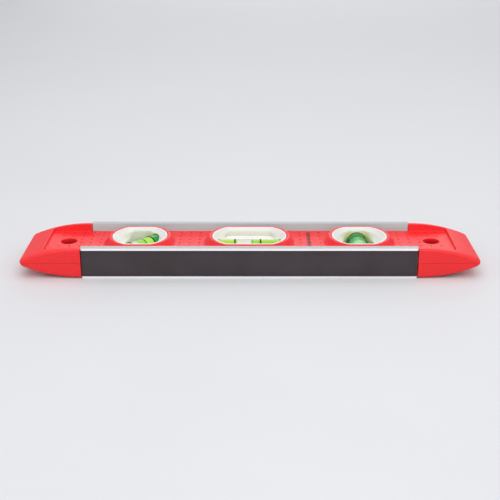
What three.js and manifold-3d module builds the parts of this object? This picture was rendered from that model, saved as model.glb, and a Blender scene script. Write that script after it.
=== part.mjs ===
// Nine-inch magnetic torpedo level lying on its side.
// Millimetres. X runs along the level, +Y to the plain edge, -Y to the magnetic base edge, +Z up.
// The two rails rest on z = 0, and the level is DEPTH thick along Z.
import * as THREE from 'three';
import { mergeVertices } from 'three/addons/utils/BufferGeometryUtils.js';
import Module from 'manifold-3d';

const wasm = await Module();
wasm.setup();

// Overall size
const LENGTH = 230;
const WIDTH = 41.5;
const DEPTH = 16;
const MID = DEPTH / 2;
const GAP = 0.3;

// Body shells
const SEAM_GAP = 0.16;
const WEB_HALF = 3.57;
const END_HALF = 7.55;
const END_ARC_RADIUS = 73;
const NOSE_RADIUS = 2;
const END_SIDE_INSET = 0.3;
const PLAN_CORNER = 3;
const EDGE_ROUND = 1.2;
const RECESS_HALF_LENGTH = 103.5;
const NEAR_WALL_Y = -16.45;
const FAR_WALL_Y = 17.6;
const RECESS_CORNER = 1.6;
const TONGUE_HALF = 3.27;
const TONGUE_DEPTH = 0.9;
const HANG_HOLE_X = 93.4;
const HANG_HOLE_Y = 2.4;
const HANG_HOLE_RADIUS = 4.15;

// Dimple grid on the web
const DIMPLE_PITCH = 5.1;
const DIMPLE_FIRST_X = 26;
const DIMPLE_FIRST_Y = -14.8;
const DIMPLE_ROWS = 7;
const DIMPLE_RADIUS = 0.5;
const DIMPLE_DEPTH = 0.3;

// Locating pins between the shells
const PIN_RADIUS = 1.2;
const PIN_SOCKET_RADIUS = 1.6;
const PIN_HEIGHT = 2.3;
const PIN_PLACES = [[-28.5, -7.2], [28.5, 8.1], [-79.5, 2.9], [79.5, 2.9], [-107.5, 0], [107.5, 0]];

// Rails
const RAIL_HALF_LENGTH = 83.7;
const BASE_RAIL_THICK = 4.3;
const TOP_RAIL_THICK = 2.77;
const GROOVE_DEPTH = 1.2;
const GROOVE_HALF = 3.5;
const RAIL_EDGE = 0.35;
const LIP_HEIGHT = 1.15;
const MAGNET_RECESS_DEPTH = 2.55;
const MAGNET_SET_BACK = 0.85;
const MAGNET_THICK = 1.4;
const MAGNET_HALF_HEIGHT = 6.78;
const MAGNET_END_INSET = 0.7;
const ADHESIVE_THICK = 0.2;

// Windows, bosses and vial housings
const WINDOW_HALF_HEIGHT = 13;
const WINDOW_END_RADIUS = 15;
const WINDOW_CORNER_RADIUS = 4;
const WINDOW_Y = 0.4;
const BOSS_TOP = 7.5;
const BOSS_RIM = 1.27;
const BOSS_FOOT = 2.4;
const HOUSING_CLEARANCE = 0.25;
const HOUSING_WALL = 2;
const HOUSING_LIP = 0.8;
const HOUSING_FUNNEL_BOTTOM = 5.6;
const HOUSING_RIB = 1;
const HOUSING_RIB_HALF = 1;
const FLOOR_HALF = 3.2;

// Vials
const VIAL_RADIUS = 5;
const BORE_RADIUS = 4.1;
const SOCKET_RADIUS = 5.3;
const LIQUID_RADIUS = 3.95;
const CLOSED_END = 1.2;
const PLUG_THICK = 1.2;
const VIAL_SIDES = 24;
const RING_SPACING = 13.1;
const RING_WIDTH = 0.7;
const RING_INNER = 5.07;
const RING_OUTER = 5.22;
const BUBBLE_HALF_WIDTH = 3.3;
const BUBBLE_HALF_HEIGHT = 2.3;
const BUBBLE_CENTRE = 2.3;
const BUBBLE_RADIUS_LIMIT = 3.75;
const POCKET_CLEARANCE = 0.2;

const WINDOWS = [
  { name: 'slant_vial', x: -56.4, halfLength: 14.05, turn: Math.PI / 4 },
  { name: 'level_vial', x: -0.33, halfLength: 19, turn: 0 },
  { name: 'plumb_vial', x: 56, halfLength: 14.05, turn: Math.PI / 2 },
];
Object.assign(WINDOWS[0], { vialHalf: 12.8, shift: 0, bubble: -1.4, bubbleHalf: 4.1 });
Object.assign(WINDOWS[1], { vialHalf: 16.9, shift: -0.8, bubble: -1.3, bubbleHalf: 4.8 });
Object.assign(WINDOWS[2], { vialHalf: 12.8, shift: 0, bubble: -3.4, bubbleHalf: 4.1 });

const looks = {
  red: { color: 0xe8323a, roughness: 0.38, metalness: 0 },
  aluminium: { color: 0xc9c7c6, roughness: 0.36, metalness: 1 },
  magnet: { color: 0x493f44, roughness: 0.72, metalness: 0 },
  adhesive: { color: 0xd8d2c4, roughness: 0.8, metalness: 0 },
  white: { color: 0xf3f1ee, roughness: 0.42, metalness: 0 },
  acrylic: { color: 0xe6f2dc, roughness: 0.06, metalness: 0 },
  liquid: { color: 0x9bdc3c, roughness: 0.08, metalness: 0 },
  air: { color: 0xecebe6, roughness: 0.05, metalness: 0 },
  ink: { color: 0x141414, roughness: 0.5, metalness: 0 },
};

const level = new THREE.Group();
level.name = 'torpedo_level';

function toSolid(geometry) {
  const bare = geometry.clone();
  bare.deleteAttribute('normal');
  bare.deleteAttribute('uv');
  const welded = mergeVertices(bare, 1e-4);
  return new wasm.Manifold(new wasm.Mesh({
    numProp: 3,
    vertProperties: new Float32Array(welded.attributes.position.array),
    triVerts: new Uint32Array(welded.index.array),
  }));
}

function toGeometry(solid) {
  const mesh = solid.getMesh();
  const geometry = new THREE.BufferGeometry();
  geometry.setAttribute('position', new THREE.BufferAttribute(new Float32Array(mesh.vertProperties), 3));
  geometry.setIndex(new THREE.BufferAttribute(new Uint32Array(mesh.triVerts), 1));
  geometry.computeVertexNormals();
  return geometry;
}

function placed(geometry, x, y, z) {
  return geometry.translate(x, y, z);
}

function addPart(parent, name, geometry, look) {
  const mesh = new THREE.Mesh(geometry, new THREE.MeshStandardMaterial(looks[look]));
  mesh.name = name;
  parent.add(mesh);
  return mesh;
}

function box(x0, x1, y0, y1, z0, z1) {
  const geometry = new THREE.BoxGeometry(x1 - x0, y1 - y0, z1 - z0);
  return toSolid(placed(geometry, (x0 + x1) / 2, (y0 + y1) / 2, (z0 + z1) / 2));
}

// Cylinder along X with a flat facet edge order shared by every round vial piece.
function alongX(radius, x0, x1, sides = VIAL_SIDES) {
  const geometry = new THREE.CylinderGeometry(radius, radius, x1 - x0, sides);
  geometry.rotateZ(Math.PI / 2);
  return toSolid(placed(geometry, (x0 + x1) / 2, 0, 0));
}

function alongZ(radius, x, y, z0, z1, sides) {
  const geometry = new THREE.CylinderGeometry(radius, radius, z1 - z0, sides);
  geometry.rotateX(Math.PI / 2);
  return toSolid(placed(geometry, x, y, (z0 + z1) / 2));
}

// Skin through rings of equal length. The ends are capped, or joined to each other.
function skin(rings, joined, flatten) {
  const count = rings[0].length;
  const points = rings.flat();
  const faces = [];
  const last = joined ? rings.length : rings.length - 1;
  for (let i = 0; i < last; i += 1) {
    const near = i * count;
    const far = ((i + 1) % rings.length) * count;
    for (let k = 0; k < count; k += 1) {
      const next = (k + 1) % count;
      faces.push([near + k, near + next, far + next], [near + k, far + next, far + k]);
    }
  }
  if (!joined) {
    const flat = rings[0].map(flatten);
    const ringSense = Math.sign(THREE.ShapeUtils.area(flat));
    const start = (rings.length - 1) * count;
    for (const [a, b, c] of THREE.ShapeUtils.triangulateShape(flat, [])) {
      const sense = Math.sign(THREE.ShapeUtils.area([flat[a], flat[b], flat[c]]));
      const [p, q, r] = sense === ringSense ? [a, b, c] : [a, c, b];
      faces.push([p, r, q], [start + p, start + q, start + r]);
    }
  }
  let volume = 0;
  for (const [a, b, c] of faces) {
    volume += points[a].dot(points[b].clone().cross(points[c])) / 6;
  }
  const order = volume > 0 ? faces : faces.map(([a, b, c]) => [a, c, b]);
  const geometry = new THREE.BufferGeometry();
  geometry.setAttribute('position', new THREE.Float32BufferAttribute(points.flatMap((p) => [p.x, p.y, p.z]), 3));
  geometry.setIndex(order.flat());
  return toSolid(geometry);
}

// Window outline: two flats, two end arcs and four corner arcs, grown outward by `grow`.
function windowOutline(halfLength, grow) {
  const cornerUp = WINDOW_HALF_HEIGHT - WINDOW_CORNER_RADIUS;
  const meet = Math.asin(cornerUp / (WINDOW_END_RADIUS - WINDOW_CORNER_RADIUS));
  const endCentre = halfLength - WINDOW_END_RADIUS;
  const cornerCentre = endCentre + Math.cos(meet) * (WINDOW_END_RADIUS - WINDOW_CORNER_RADIUS);
  const outline = [];
  for (const side of [0, Math.PI]) {
    const arcs = [
      { cx: cornerCentre, cy: -cornerUp, r: WINDOW_CORNER_RADIUS + grow, from: -Math.PI / 2, to: -meet, steps: 3 },
      { cx: endCentre, cy: 0, r: WINDOW_END_RADIUS + grow, from: -meet, to: meet, steps: 8 },
      { cx: cornerCentre, cy: cornerUp, r: WINDOW_CORNER_RADIUS + grow, from: meet, to: Math.PI / 2, steps: 3 },
    ];
    for (const arc of arcs) {
      const first = arc.cy < 0 ? 0 : 1;
      for (let i = first; i <= arc.steps; i += 1) {
        const angle = arc.from + ((arc.to - arc.from) * i) / arc.steps;
        const x = arc.cx + arc.r * Math.cos(angle);
        const y = arc.cy + arc.r * Math.sin(angle);
        outline.push(new THREE.Vector2(x, y).rotateAround(new THREE.Vector2(), side));
      }
    }
  }
  return outline;
}

// Prism or tapered prism over the window outline, as [grow, z] stations.
function windowSolid(opening, stations, joined = false) {
  const rings = stations.map(([grow, z]) =>
    windowOutline(opening.halfLength, grow).map((p) => new THREE.Vector3(p.x + opening.x, p.y + WINDOW_Y, z)));
  return skin(rings, joined, (p) => new THREE.Vector2(p.x, p.y));
}

// Side outline of the boat-shaped body in the XZ plane, drawn in by trimX at the tips and trimZ on the faces.
function boatOutline(trimX, trimZ) {
  const half = END_HALF - trimZ;
  const tip = LENGTH / 2 - trimX;
  const reach = Math.sqrt((END_ARC_RADIUS - NOSE_RADIUS) ** 2 - (END_ARC_RADIUS - half) ** 2);
  const noseCentre = tip - NOSE_RADIUS;
  const arcStart = noseCentre - reach;
  const sweep = Math.asin(reach / (END_ARC_RADIUS - NOSE_RADIUS));
  const quarter = [];
  const arcSteps = 9;
  for (let i = 0; i <= arcSteps; i += 1) {
    const angle = (sweep * i) / arcSteps;
    quarter.push([arcStart + END_ARC_RADIUS * Math.sin(angle), half - END_ARC_RADIUS * (1 - Math.cos(angle))]);
  }
  const noseSteps = 3;
  for (let i = 1; i <= noseSteps; i += 1) {
    const angle = sweep + ((Math.PI / 2 - sweep) * i) / noseSteps;
    quarter.push([noseCentre + NOSE_RADIUS * Math.sin(angle), NOSE_RADIUS * Math.cos(angle)]);
  }
  const right = quarter.concat(quarter.slice(0, -1).reverse().map(([x, z]) => [x, -z]));
  return right.concat(right.map(([x, z]) => [-x, -z]));
}

function boatBody() {
  const sideNear = -WIDTH / 2 + END_SIDE_INSET;
  const sideFar = WIDTH / 2 - END_SIDE_INSET;
  const steps = [0, 0.25, 0.6, 1.2, 1.9, PLAN_CORNER];
  const trims = steps.map((s) => {
    const inPlan = PLAN_CORNER - Math.sqrt(PLAN_CORNER ** 2 - (PLAN_CORNER - s) ** 2);
    const onEdge = Math.max(0, EDGE_ROUND - s);
    return { s, x: inPlan, z: EDGE_ROUND - Math.sqrt(EDGE_ROUND ** 2 - onEdge ** 2) };
  });
  const stations = trims.map((t) => ({ ...t, y: sideNear + t.s }))
    .concat(trims.slice().reverse().map((t) => ({ ...t, y: sideFar - t.s })));
  const rings = stations.map((t) => boatOutline(t.x, t.z).map(([x, z]) => new THREE.Vector3(x, t.y, z)));
  return skin(rings, false, (p) => new THREE.Vector2(p.x, p.z));
}

// Pocket above the web: the whole width between the rails, and a narrower run into each end.
function facePocket() {
  const r = RECESS_CORNER;
  const x1 = RECESS_HALF_LENGTH;
  const shape = new THREE.Shape();
  shape.moveTo(-x1 + r, NEAR_WALL_Y);
  shape.lineTo(x1 - r, NEAR_WALL_Y);
  shape.absarc(x1 - r, NEAR_WALL_Y + r, r, -Math.PI / 2, 0);
  shape.lineTo(x1, FAR_WALL_Y - r);
  shape.absarc(x1 - r, FAR_WALL_Y - r, r, 0, Math.PI / 2);
  shape.lineTo(-x1 + r, FAR_WALL_Y);
  shape.absarc(-x1 + r, FAR_WALL_Y - r, r, Math.PI / 2, Math.PI);
  shape.lineTo(-x1, NEAR_WALL_Y + r);
  shape.absarc(-x1 + r, NEAR_WALL_Y + r, r, Math.PI, Math.PI * 1.5);
  const prism = new THREE.ExtrudeGeometry(shape, { depth: MID, bevelEnabled: false, curveSegments: 4 });
  const railRun = RAIL_HALF_LENGTH + GAP;
  return toSolid(placed(prism, 0, 0, WEB_HALF)).add(box(-railRun, railRun, -WIDTH, WIDTH, WEB_HALF, MID + WEB_HALF));
}

function insideWindow(x, y) {
  return WINDOWS.some((w) => {
    const across = Math.abs(x - w.x) < w.halfLength + BOSS_FOOT + 1.4;
    return across && Math.abs(y - WINDOW_Y) < WINDOW_HALF_HEIGHT + BOSS_FOOT + 1.4;
  });
}

function nearHangHole(x, y) {
  return Math.hypot(Math.abs(x) - HANG_HOLE_X, y - HANG_HOLE_Y) < HANG_HOLE_RADIUS + 1.2;
}

function dimplePlaces() {
  const columns = [];
  for (let x = DIMPLE_FIRST_X; x < RECESS_HALF_LENGTH - 2; x += DIMPLE_PITCH) {
    columns.push(-x, x);
  }
  const places = [];
  for (const x of columns) {
    for (let row = 0; row < DIMPLE_ROWS; row += 1) {
      const y = DIMPLE_FIRST_Y + row * DIMPLE_PITCH * 0.985;
      if (!insideWindow(x, y) && !nearHangHole(x, y)) {
        places.push([x, y]);
      }
    }
  }
  return places;
}

function dimples() {
  const cones = dimplePlaces().map(([x, y]) => {
    const over = 0.1;
    const top = DIMPLE_RADIUS * (1 + over / DIMPLE_DEPTH);
    const cone = new THREE.ConeGeometry(top, DIMPLE_DEPTH + over, 6);
    cone.rotateX(-Math.PI / 2);
    return toSolid(placed(cone, x, y, WEB_HALF - (DIMPLE_DEPTH - over) / 2));
  });
  return wasm.Manifold.union(cones);
}

// One shell with its outer face towards +Z and the seam just above z = 0.
function shell(pinned) {
  const nearEdge = -WIDTH / 2 + BASE_RAIL_THICK + GAP;
  const farEdge = WIDTH / 2 - TOP_RAIL_THICK - GAP;
  const railRun = RAIL_HALF_LENGTH + GAP;
  let body = boatBody().subtract(facePocket());
  body = body.subtract(box(-railRun, railRun, -WIDTH, nearEdge, -DEPTH, DEPTH));
  body = body.subtract(box(-railRun, railRun, farEdge, WIDTH, -DEPTH, DEPTH));
  body = body.add(box(-railRun - 1, railRun + 1, nearEdge - TONGUE_DEPTH - GAP, nearEdge + 1, 0, TONGUE_HALF));
  body = body.add(box(-railRun - 1, railRun + 1, farEdge - 1, farEdge + TONGUE_DEPTH + GAP, 0, TONGUE_HALF));
  for (const opening of WINDOWS) {
    body = body.add(windowSolid(opening, [
      [BOSS_FOOT, 0], [BOSS_FOOT, WEB_HALF], [BOSS_RIM + 0.35, BOSS_TOP - 0.4], [BOSS_RIM, BOSS_TOP],
    ]));
  }
  for (const opening of WINDOWS) {
    body = body.subtract(windowSolid(opening, [[HOUSING_CLEARANCE, -DEPTH], [HOUSING_CLEARANCE, DEPTH]]));
    const ribRoom = HOUSING_RIB + GAP;
    body = body.subtract(windowSolid(opening, [[ribRoom, -DEPTH], [ribRoom, HOUSING_RIB_HALF + GAP]]));
  }
  for (const side of [-1, 1]) {
    body = body.subtract(alongZ(HANG_HOLE_RADIUS, side * HANG_HOLE_X, HANG_HOLE_Y, -DEPTH, DEPTH, 28));
  }
  body = body.subtract(dimples());
  body = body.subtract(box(-LENGTH, LENGTH, -WIDTH, WIDTH, -DEPTH, SEAM_GAP / 2));
  for (const [x, y] of PIN_PLACES) {
    body = pinned
      ? body.add(alongZ(PIN_RADIUS, x, y, -PIN_HEIGHT, SEAM_GAP, 12))
      : body.subtract(alongZ(PIN_SOCKET_RADIUS, x, y, 0, PIN_HEIGHT + GAP, 12));
  }
  return body;
}

// Rail section in the YZ plane, outer face at y = 0 and material towards +Y, swept along X.
function railPrism(outline) {
  const shape = new THREE.Shape(outline.map(([y, z]) => new THREE.Vector2(y, z)));
  const prism = new THREE.ExtrudeGeometry(shape, { depth: 2 * RAIL_HALF_LENGTH, bevelEnabled: false });
  prism.translate(0, 0, -RAIL_HALF_LENGTH);
  prism.rotateX(Math.PI / 2);
  prism.rotateZ(Math.PI / 2);
  return prism;
}

function railOutline(thick, recessDepth) {
  const e = RAIL_EDGE;
  const recess = recessDepth > 0
    ? [[0, MID - LIP_HEIGHT], [recessDepth, MID - LIP_HEIGHT], [recessDepth, LIP_HEIGHT - MID], [0, LIP_HEIGHT - MID]]
    : [];
  return [
    [0, -MID + e], [e, -MID], [thick - e, -MID], [thick, -MID + e],
    [thick, -GROOVE_HALF], [thick - GROOVE_DEPTH, -GROOVE_HALF],
    [thick - GROOVE_DEPTH, GROOVE_HALF], [thick, GROOVE_HALF],
    [thick, MID - e], [thick - e, MID], [e, MID], [0, MID - e],
    ...recess,
  ];
}

function ringWall(opening) {
  const wall = -HOUSING_WALL;
  const funnel = HOUSING_FUNNEL_BOTTOM;
  const rib = HOUSING_RIB_HALF;
  return windowSolid(opening, [
    [0, -BOSS_TOP], [0, -rib], [HOUSING_RIB, -rib], [HOUSING_RIB, rib], [0, rib], [0, BOSS_TOP],
    [-HOUSING_LIP, BOSS_TOP], [wall, funnel], [wall, -funnel], [-HOUSING_LIP, -BOSS_TOP],
  ], true);
}

function vialCut(opening, radius, half) {
  const cut = new THREE.CylinderGeometry(radius, radius, 2 * half, VIAL_SIDES);
  cut.rotateZ(Math.PI / 2);
  cut.rotateZ(opening.turn);
  return toSolid(placed(cut, opening.x, WINDOW_Y, 0));
}

function housing(opening) {
  let body = ringWall(opening);
  if (opening.turn === 0) {
    body = body.add(windowSolid(opening, [[-HOUSING_WALL + 0.5, -FLOOR_HALF], [-HOUSING_WALL + 0.5, FLOOR_HALF]]));
  }
  return body.subtract(vialCut(opening, SOCKET_RADIUS, LENGTH / 4));
}

function bubbleShape(halfLength, grow) {
  const egg = new THREE.SphereGeometry(1, 16, 10);
  egg.rotateZ(Math.PI / 2);
  egg.scale(halfLength + grow, BUBBLE_HALF_WIDTH + grow, BUBBLE_HALF_HEIGHT + grow);
  return placed(egg, 0, 0, BUBBLE_CENTRE);
}

// One vial about its own centre, axis along X, closed end at +X and plug at -X.
function addVial(parent, opening) {
  const half = opening.vialHalf;
  const boreEnd = half - CLOSED_END;
  const plugFace = -half + PLUG_THICK;
  const tube = alongX(VIAL_RADIUS, -half, half).subtract(alongX(BORE_RADIUS, -half - 1, boreEnd));
  addPart(parent, `${opening.name}_tube`, toGeometry(tube), 'acrylic');

  const plug = alongX(LIQUID_RADIUS, -half + 0.1, plugFace);
  addPart(parent, `${opening.name}_plug`, toGeometry(plug), 'acrylic');

  const fill = alongX(LIQUID_RADIUS, plugFace + 0.1, boreEnd - 0.1);
  const pocket = toSolid(bubbleShape(opening.bubbleHalf, POCKET_CLEARANCE).translate(opening.bubble, 0, 0));
  addPart(parent, `${opening.name}_liquid`, toGeometry(fill.subtract(pocket)), 'liquid');

  const bubble = toSolid(bubbleShape(opening.bubbleHalf, 0)).intersect(alongX(BUBBLE_RADIUS_LIMIT, -half, half));
  const bubbleMesh = addPart(parent, `${opening.name}_bubble`, toGeometry(bubble), 'air');
  bubbleMesh.position.x = opening.bubble;

  for (const [mark, side] of [['a', -1], ['b', 1]]) {
    const ring = alongX(RING_OUTER, -RING_WIDTH / 2, RING_WIDTH / 2)
      .subtract(alongX(RING_INNER, -RING_WIDTH, RING_WIDTH));
    const ringMesh = addPart(parent, `${opening.name}_ring_${mark}`, toGeometry(ring), 'ink');
    ringMesh.position.x = (side * RING_SPACING) / 2;
  }
}

// Shells
const body = new THREE.Group();
body.position.z = MID;
level.add(body);
addPart(body, 'front_shell', toGeometry(shell(false)), 'red');
const back = addPart(body, 'back_shell', toGeometry(shell(true).mirror([0, 0, 1])), 'red');
back.position.z = 0;

// Rails and magnet
const baseRail = addPart(body, 'base_rail', railPrism(railOutline(BASE_RAIL_THICK, MAGNET_RECESS_DEPTH)), 'aluminium');
baseRail.position.y = -WIDTH / 2;
const topRail = addPart(body, 'top_rail', railPrism(railOutline(TOP_RAIL_THICK, 0)), 'aluminium');
topRail.rotation.z = Math.PI;
topRail.position.y = WIDTH / 2;

const magnetHalf = RAIL_HALF_LENGTH - MAGNET_END_INSET;
const magnet = new THREE.BoxGeometry(2 * magnetHalf, MAGNET_THICK, 2 * MAGNET_HALF_HEIGHT);
const magnetMesh = addPart(body, 'magnet_strip', mergeVertices(magnet), 'magnet');
magnetMesh.position.y = -WIDTH / 2 + MAGNET_SET_BACK + MAGNET_THICK / 2;
const tape = new THREE.BoxGeometry(2 * magnetHalf - 1, ADHESIVE_THICK, 2 * MAGNET_HALF_HEIGHT - 1);
const tapeMesh = addPart(body, 'magnet_adhesive', mergeVertices(tape), 'adhesive');
tapeMesh.position.y = -WIDTH / 2 + MAGNET_SET_BACK + MAGNET_THICK + 0.05 + ADHESIVE_THICK / 2;

// Vial housings and vials
for (const opening of WINDOWS) {
  addPart(body, `${opening.name}_housing`, toGeometry(housing(opening)), 'white');
  const vial = new THREE.Group();
  vial.position.set(opening.x + opening.shift * Math.cos(opening.turn), WINDOW_Y, 0);
  vial.rotation.z = opening.turn;
  body.add(vial);
  addVial(vial, opening);
}

export default level;
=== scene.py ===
"""Looks of the torpedo spirit level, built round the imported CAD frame."""
import math

import bpy
import numpy as np
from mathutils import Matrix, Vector
from mathutils.geometry import delaunay_2d_cdt


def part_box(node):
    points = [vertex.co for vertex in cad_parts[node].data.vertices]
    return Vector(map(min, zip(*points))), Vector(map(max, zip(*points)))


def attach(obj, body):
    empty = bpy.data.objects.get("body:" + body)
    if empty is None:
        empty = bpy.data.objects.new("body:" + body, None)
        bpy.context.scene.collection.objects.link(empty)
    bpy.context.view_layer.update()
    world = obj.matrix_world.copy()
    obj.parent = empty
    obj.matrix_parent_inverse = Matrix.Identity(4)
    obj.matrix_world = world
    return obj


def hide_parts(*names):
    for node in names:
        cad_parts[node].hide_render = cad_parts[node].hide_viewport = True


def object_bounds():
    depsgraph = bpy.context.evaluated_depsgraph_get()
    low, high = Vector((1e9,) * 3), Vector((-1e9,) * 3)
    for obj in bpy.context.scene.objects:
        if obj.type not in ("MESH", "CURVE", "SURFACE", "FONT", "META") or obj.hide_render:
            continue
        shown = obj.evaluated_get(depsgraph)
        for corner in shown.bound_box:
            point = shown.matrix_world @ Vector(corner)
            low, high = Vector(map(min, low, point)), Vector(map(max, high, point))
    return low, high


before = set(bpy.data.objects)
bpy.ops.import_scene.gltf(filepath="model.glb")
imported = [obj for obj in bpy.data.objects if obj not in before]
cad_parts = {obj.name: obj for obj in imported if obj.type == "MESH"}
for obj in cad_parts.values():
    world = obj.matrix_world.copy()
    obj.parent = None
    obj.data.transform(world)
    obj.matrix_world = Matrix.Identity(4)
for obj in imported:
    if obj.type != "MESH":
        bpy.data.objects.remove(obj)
cad_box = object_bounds()

MM = 0.001
BODY = "level_body"


# ---------------------------------------------------------------- sizes, in millimetres
def box_mm(node):
    """A node's box at rest, as (low, high) in millimetres."""
    low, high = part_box(node)
    return np.array(low) / MM, np.array(high) / MM


SHELL_HIGH = box_mm("front_shell")[1]
BASE_LOW, BASE_HIGH = box_mm("base_rail")
TOP_LOW, TOP_HIGH = box_mm("top_rail")
MAGNET_LOW, MAGNET_HIGH = box_mm("magnet_strip")
TAPE_LOW, TAPE_HIGH = box_mm("magnet_adhesive")

MAGNET_HALF = (MAGNET_HIGH[2] - MAGNET_LOW[2]) / 2
DEPTH = BASE_HIGH[2] - BASE_LOW[2]
MID = DEPTH / 2
HALF_LENGTH = cad_box[1][0] / MM - 0.001
SIDE_Y = SHELL_HIGH[1]
NEAR_WALL = BASE_HIGH[1]
FAR_WALL = TOP_LOW[1]

SEAM = 0.045
WEB = 3.57
END_HALF = 7.55
ARC_R = 73.0
NOSE_R = 2.0
PLAN_CORNER = 3.0
EDGE_ROUND = 1.2
END_X = 83.85
STEP = 0.03
POCKET_X = 103.5
POCKET_Y0 = -16.45
POCKET_Y1 = 17.6
POCKET_R = 1.6
POCKET_R_NEAR = 3.6
HOLE_X = 93.4
HOLE_Y = 2.4
HOLE_R = 4.15

# Rails: groove on the inner side, recess for the strip between two lips
GROOVE = 1.2
GROOVE_HALF = 3.5
LIP = 1.15
RECESS = 2.55
# How far the rails, strip and tape are moved at their (left, right) ends
BASE_ENDS = (-0.4, -0.15)
TOP_ENDS = (0.35, -0.1)
STRIP_ENDS = (-0.95, 0.0)

WIN_HALF = 13.0
WIN_R = 15.0
WIN_CORNER = 4.0
HOLE_GROW = 0.25

DENT_PITCH = 5.1
DENT_ROW = 5.0235
DENT_X0 = 26.0
DENT_Y0 = -14.8
DENT_ROWS = 7
DENT_R = 0.68
DENT_DEPTH = 0.36

VIAL_R = 5.0
BORE_R = 4.88
LIQUID_R = 4.84
PLUG_R = 4.8


class Window:
    """One window and its vial; throat and foot are (corner place, turn in degrees) of the bowl's outlines."""

    def __init__(self, name, turn, half, vial_half, bubble_half, throat, foot, socket):
        low, high = box_mm(f"{name}_housing")
        self.throat_x, self.throat_turn = throat[0], math.radians(throat[1])
        self.foot_x, self.foot_turn = foot[0], math.radians(foot[1])
        self.socket = socket
        self.name = name
        self.turn = turn
        self.x = (low[0] + high[0]) / 2
        self.y = (low[1] + high[1]) / 2
        self.half = half
        tube_low, tube_high = box_mm(f"{name}_tube")
        self.vial = (tube_low + tube_high) / 2
        self.vial_half = vial_half
        bubble_low, bubble_high = box_mm(f"{name}_bubble")
        away = (bubble_low + bubble_high) / 2 - self.vial
        self.bubble = away[0] * math.cos(turn) + away[1] * math.sin(turn)
        self.bubble_half = bubble_half


WINDOWS = [
    Window("slant_vial", math.pi / 4, 14.05, 12.8, 4.1, (5.4, 65), (5.4, 30), 5.35),
    Window("level_vial", 0.0, 19.0, 16.9, 4.8, (11.4, 60), (12.2, 12), 5.06),
    Window("plumb_vial", math.pi / 2, 14.05, 12.8, 4.1, (5.6, 65), (5.6, 30), 5.12),
]


# ---------------------------------------------------------------- mesh helpers
def add_object(name, verts_mm, faces, material, body=BODY, smooth=35.0, attrs=None):
    mesh = bpy.data.meshes.new(name)
    points = [tuple(v) for v in np.asarray(verts_mm, float) * MM]
    mesh.from_pydata(points, [], [tuple(map(int, f)) for f in faces])
    mesh.validate()
    mesh.update()
    for key, values in (attrs or {}).items():
        layer = mesh.attributes.new(key, "FLOAT", "POINT")
        layer.data.foreach_set("value", np.asarray(values, np.float32))
    mesh.shade_smooth()
    mesh.set_sharp_from_angle(angle=math.radians(smooth))
    obj = bpy.data.objects.new(name, mesh)
    bpy.context.scene.collection.objects.link(obj)
    if material is not None:
        mesh.materials.append(material)
    if body is not None:
        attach(obj, body)
    return obj


def stand_for(obj, nodes):
    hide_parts(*nodes)
    return obj


def sweep_faces(rings, count, closed_ring=True, join=False):
    faces = []
    last = rings if join else rings - 1
    for i in range(last):
        a, b = i * count, ((i + 1) % rings) * count
        for k in range(count if closed_ring else count - 1):
            n = (k + 1) % count
            faces.append((a + k, a + n, b + n, b + k))
    return faces


def turned_out(verts, faces):
    """The faces, flipped if they enclose a negative volume."""
    v = np.asarray(verts, float)
    volume = 0.0
    for f in faces:
        for i in range(1, len(f) - 1):
            volume += np.dot(v[f[0]], np.cross(v[f[i]], v[f[i + 1]]))
    return faces if volume > 0 else [tuple(reversed(f)) for f in faces]


def boolean(obj, cutter, operation="DIFFERENCE"):
    modifier = obj.modifiers.new("cut", "BOOLEAN")
    modifier.operation = operation
    modifier.solver = "EXACT"
    modifier.object = cutter
    graph = bpy.context.evaluated_depsgraph_get()
    cut = bpy.data.meshes.new_from_object(obj.evaluated_get(graph))
    obj.modifiers.remove(modifier)
    old = obj.data
    obj.data = cut
    bpy.data.meshes.remove(old)
    bpy.data.objects.remove(cutter)
    obj.data.shade_smooth()
    obj.data.set_sharp_from_angle(angle=math.radians(35))


# ---------------------------------------------------------------- window outline
def outline_from(arcs):
    """Both halves of an outline, from the arcs of its right half."""
    points = []
    for turn in (1, -1):
        for i, (cx, cy, r, start, stop, steps) in enumerate(arcs):
            for k in range(0 if i == 0 else 1, steps + 1):
                a = start + (stop - start) * k / steps
                points.append((turn * (cx + r * math.cos(a)), turn * (cy + r * math.sin(a))))
    return np.array(points)


def window_outline(half, grow, corner_steps=12, end_steps=30):
    up = WIN_HALF - WIN_CORNER
    meet = math.asin(up / (WIN_R - WIN_CORNER))
    end_centre = half - WIN_R
    corner_centre = end_centre + math.cos(meet) * (WIN_R - WIN_CORNER)
    arcs = [
        (corner_centre, -up, WIN_CORNER + grow, -math.pi / 2, -meet, corner_steps),
        (end_centre, 0.0, WIN_R + grow, -meet, meet, end_steps),
        (corner_centre, up, WIN_CORNER + grow, meet, math.pi / 2, corner_steps),
    ]
    return outline_from(arcs)


def window_distance(x, y, w):
    """Signed distance in plan to a window's outline; only used outside it or close to it."""
    up = WIN_HALF - WIN_CORNER
    meet = math.asin(up / (WIN_R - WIN_CORNER))
    end_centre = w.half - WIN_R
    corner_centre = end_centre + math.cos(meet) * (WIN_R - WIN_CORNER)
    u, v = np.abs(x - w.x), np.abs(y - w.y)
    flat = v - WIN_HALF
    end = np.hypot(u - end_centre, v) - WIN_R
    corner = np.hypot(u - corner_centre, v - up) - WIN_CORNER
    angle = np.arctan2(v, u - end_centre)
    return np.where(u <= corner_centre, flat, np.where(angle <= meet, end, corner))


# ---------------------------------------------------------------- body height above the mid plane
def tip_trim(s):
    s = np.clip(s, 0, PLAN_CORNER)
    return PLAN_CORNER - np.sqrt(np.maximum(PLAN_CORNER ** 2 - (PLAN_CORNER - s) ** 2, 0))


def edge_trim(s):
    inside = np.clip(EDGE_ROUND - s, 0, EDGE_ROUND)
    return EDGE_ROUND - np.sqrt(np.maximum(EDGE_ROUND ** 2 - inside ** 2, 0))


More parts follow.
